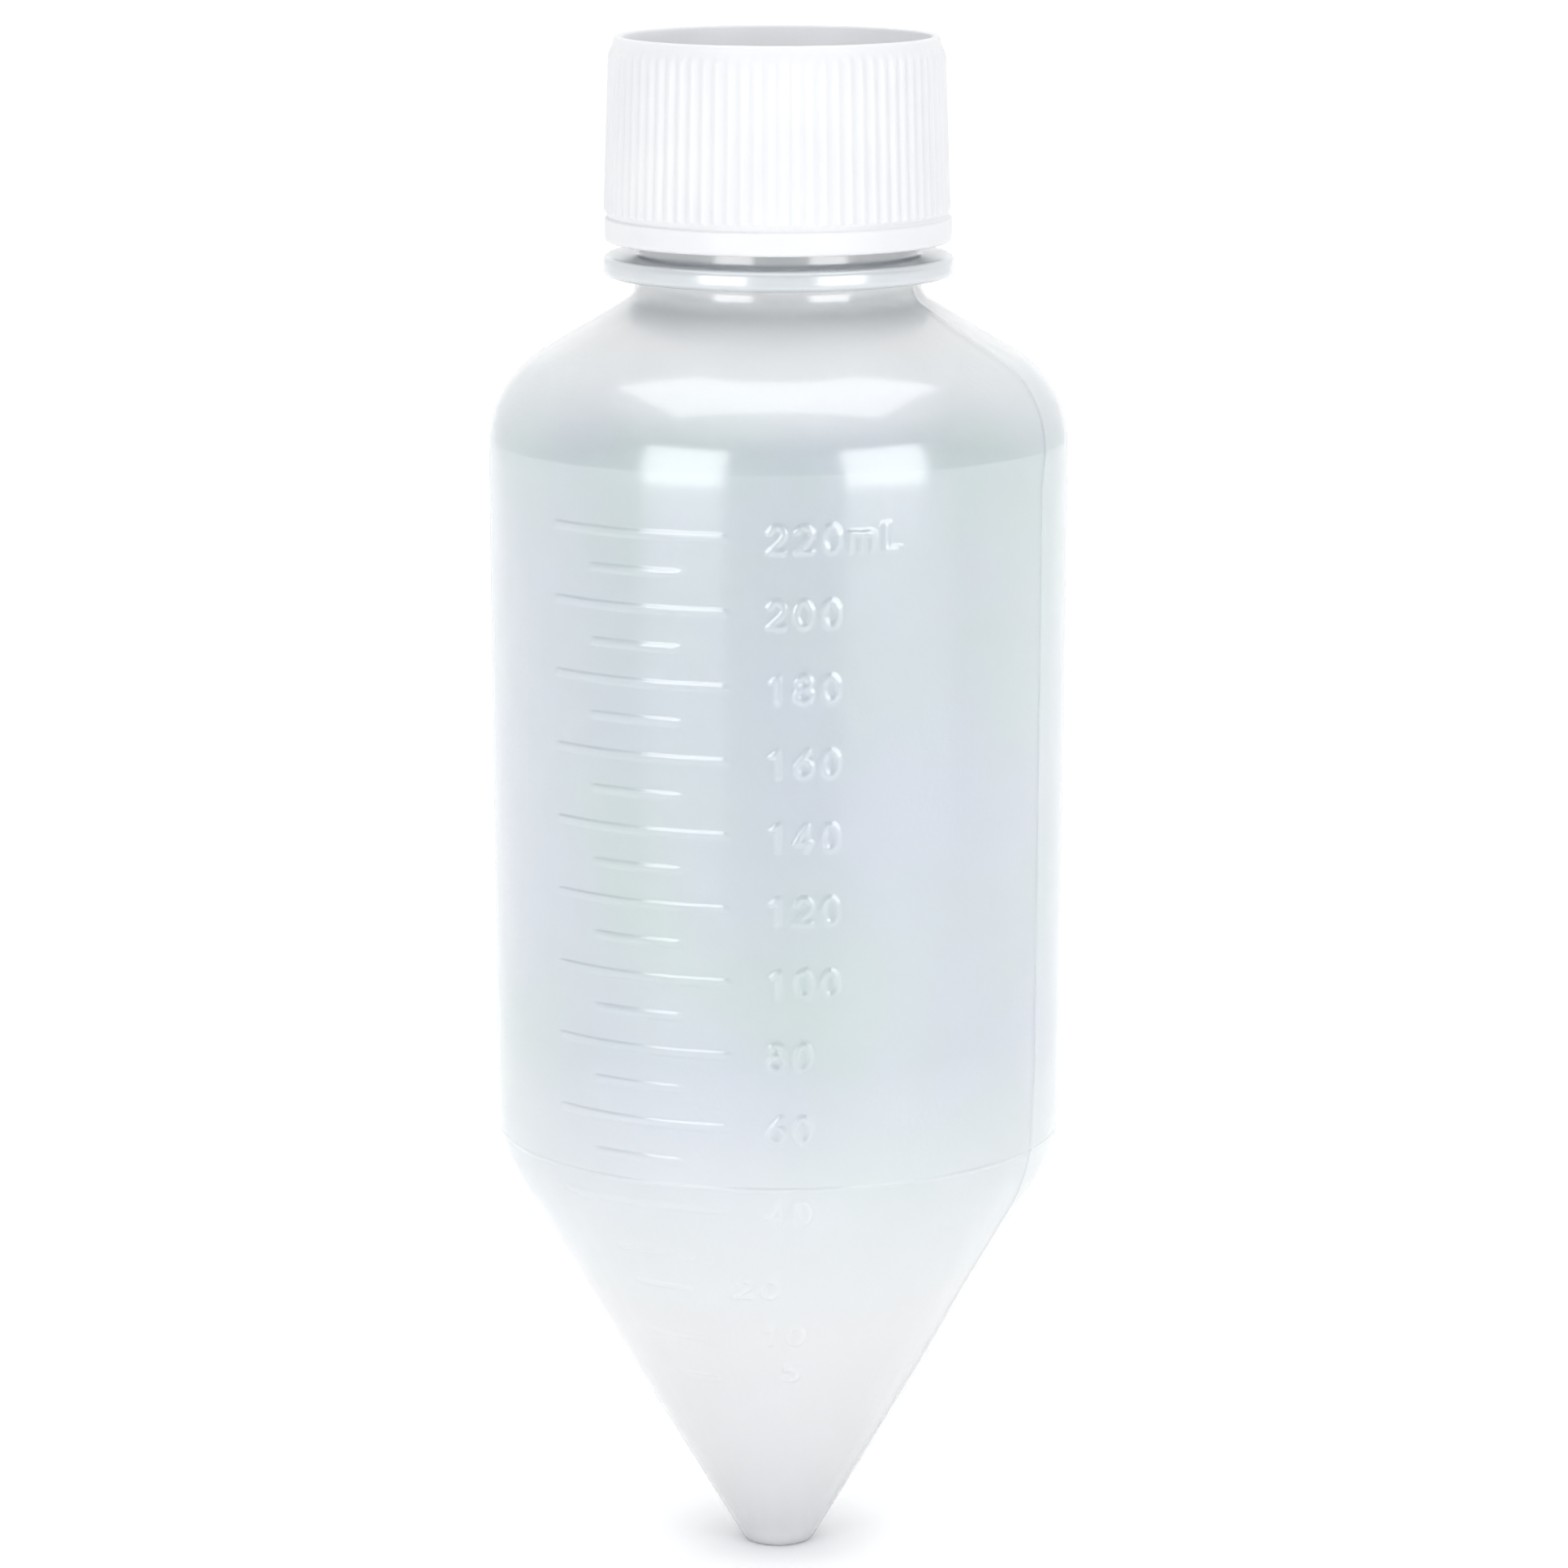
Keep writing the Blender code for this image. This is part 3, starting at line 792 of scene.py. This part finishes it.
SURROUNDINGS_STRENGTH = 1.26
DARK_FRONT = (0.14, 0.16, 0.175)

# Camera: a long lens in front of the bottle, a little above it and tilted down, in metres and degrees.
EYE_DISTANCE = 0.5978
EYE_HEIGHT = 0.2031
EYE_TILT = 11.283
LENS = 131.39
SENSOR_WIDTH = 36.0
LENS_SHIFT = 0.0036


def paper_glow(tree):
    """How much painted glow the paper shows at each place, from 0 to 1: the paper gives off light though it
    is no lamp.

    All of it well beside the bottle, less close by and behind, where the plastic would show it, and none
    straight in front.  The far corners lose some, and a small round at the tip is left dark: a painted
    contact shadow.
    """
    sideways = combine(tree, "ABSOLUTE", part(tree, "X"))
    backwards = part(tree, "Y")
    beside = spread(tree, sideways, 0.45, 1.0, start=0.08, end=0.4)
    behind = spread(tree, backwards, 0.45, 0.75, start=0.06, end=1.3)
    outside_front = combine(tree, "MAXIMUM", spread(tree, backwards, 0.0, 1.0, start=-0.4, end=-0.04),
                            spread(tree, sideways, 0.0, 1.0, start=0.55, end=0.9))
    far_corner = combine(tree, "MINIMUM", spread(tree, sideways, 0.0, 0.4, start=0.36, end=0.8),
                         spread(tree, backwards, 0.0, 0.4, start=0.25, end=0.9))
    # Painted contact shadow: the glow fades to nothing in a small round under the tip.
    away = tree.nodes.new("ShaderNodeVectorMath")
    away.operation = "LENGTH"
    tree.links.new(coordinates(tree), away.inputs[0])
    outside_painted_contact_shadow = spread(tree, away.outputs["Value"], 0.0, 1.0, start=0.003, end=0.016)
    painted_glow = combine(tree, "MULTIPLY", combine(tree, "MAXIMUM", beside, behind), outside_front)
    return combine(tree, "MULTIPLY", combine(tree, "SUBTRACT", painted_glow, far_corner), outside_painted_contact_shadow)


def white_sweep():
    """White paper: a floor that curves up into a backdrop, as a profile in y carried along x."""
    line = rounded([
        (PAPER_FRONT, 0.0, 0),
        (PAPER_BEND, 0.0, PAPER_BEND_FILLET),
        (PAPER_BEND, PAPER_TOP, 0),
    ], ARC_STEPS)
    across = np.array([-PAPER_HALF_WIDTH, PAPER_HALF_WIDTH])
    points = np.stack(np.broadcast_arrays(across[None, :], line[:, :1], line[:, 1:]), axis=-1).reshape(-1, 3)
    index = np.arange(len(line) * 2).reshape(-1, 2)
    faces = np.stack((index[:-1, 0], index[:-1, 1], index[1:, 1], index[1:, 0]), axis=-1)
    mesh = bpy.data.meshes.new("paper_sweep")
    mesh.from_pydata(points, [], faces)
    mesh.shade_smooth()
    sweep = bpy.data.objects.new("paper_sweep", mesh)
    bpy.context.scene.collection.objects.link(sweep)
    material, tree, shader = new_material("white_paper")
    settings(shader, Base_Color=(0.9, 0.9, 0.9, 1.0), Roughness=0.9, Specular_IOR_Level=0.1,
             Emission_Strength=PAINTED_PAPER_GLOW)
    # Painted light: the paper glows by the mask above, with a painted contact shadow under the tip.
    tree.links.new(tint(tree, paper_glow(tree), BLACK, WHITE), shader.inputs["Emission Color"])
    mesh.materials.append(material)


def soft_light(name, azimuth, height, distance, width, depth, brightness, mirrored):
    """A rectangular soft light of even brightness, turned towards the middle of the bottle.

    Its power is brightness * pi * area.  One that isn't mirrored lights surfaces without showing in
    their gloss.
    """
    light = bpy.data.lights.new(name, "AREA")
    light.shape = "RECTANGLE"
    light.size, light.size_y, light.energy = width, depth, brightness * math.pi * width * depth
    lamp = bpy.data.objects.new(name, light)
    bpy.context.scene.collection.objects.link(lamp)
    turn = math.radians(azimuth)
    lamp.location = (distance * math.sin(turn), -distance * math.cos(turn), height)
    rise = math.atan2(height - AIM_HEIGHT, distance)
    lamp.rotation_euler = (math.pi / 2 - rise, 0.0, turn)
    lamp.visible_camera = False
    lamp.visible_glossy = mirrored


def studio():
    """Pale surroundings and the soft lights.

    The surroundings are dark in front and paler behind, overhead and near the horizon, each by its own
    share, of which the largest counts.
    """
    scene = bpy.context.scene
    world = bpy.data.worlds.new("studio")
    scene.world = world
    world.use_nodes = True
    tree = world.node_tree
    back = tree.nodes["Background"]
    behind = spread(tree, part(tree, "Y", "Generated"), 0.0, 0.6, start=-0.5, end=0.3)
    above = spread(tree, part(tree, "Z", "Generated"), 0.0, 0.78, start=0.4, end=0.85)
    low = spread(tree, part(tree, "Z", "Generated"), 0.55, 0.0, start=0.0, end=0.45)
    brightest = combine(tree, "MAXIMUM", combine(tree, "MAXIMUM", behind, above), low)
    tree.links.new(tint(tree, brightest, DARK_FRONT, WHITE), back.inputs["Color"])
    back.inputs["Strength"].default_value = SURROUNDINGS_STRENGTH
    for name, values in SOFT_LIGHTS.items():
        soft_light(name, *values)
    scene.view_settings.view_transform = "Standard"


def camera():
    """The camera, with everything in focus."""
    scene = bpy.context.scene
    data = bpy.data.cameras.new("camera")
    data.sensor_width, data.lens, data.shift_x = SENSOR_WIDTH, LENS, LENS_SHIFT
    data.clip_start, data.clip_end = 0.05, 30.0
    eye = bpy.data.objects.new("camera", data)
    scene.collection.objects.link(eye)
    eye.location = (0.0, -EYE_DISTANCE, EYE_HEIGHT)
    eye.rotation_euler = (math.radians(90.0 - EYE_TILT), 0.0, 0.0)
    scene.camera = eye


# ---------------------------------------------------------------- assembly

def dress(piece, material, body, node):
    """Give a piece its finish in a material slot and the body it rides on, and hide the CAD node it stands
    for.
    """
    piece.data.materials.append(material)
    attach(piece, body)
    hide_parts(node)


camera()
studio()
white_sweep()
dress(make_bottle_shell(), translucent_polypropylene(), "bottle", "bottle")
dress(make_cap_shell(), white_polypropylene(), "cap", "screw_cap")
dress(make_seal(), clear_silicone(), "seal", "seal_ring")
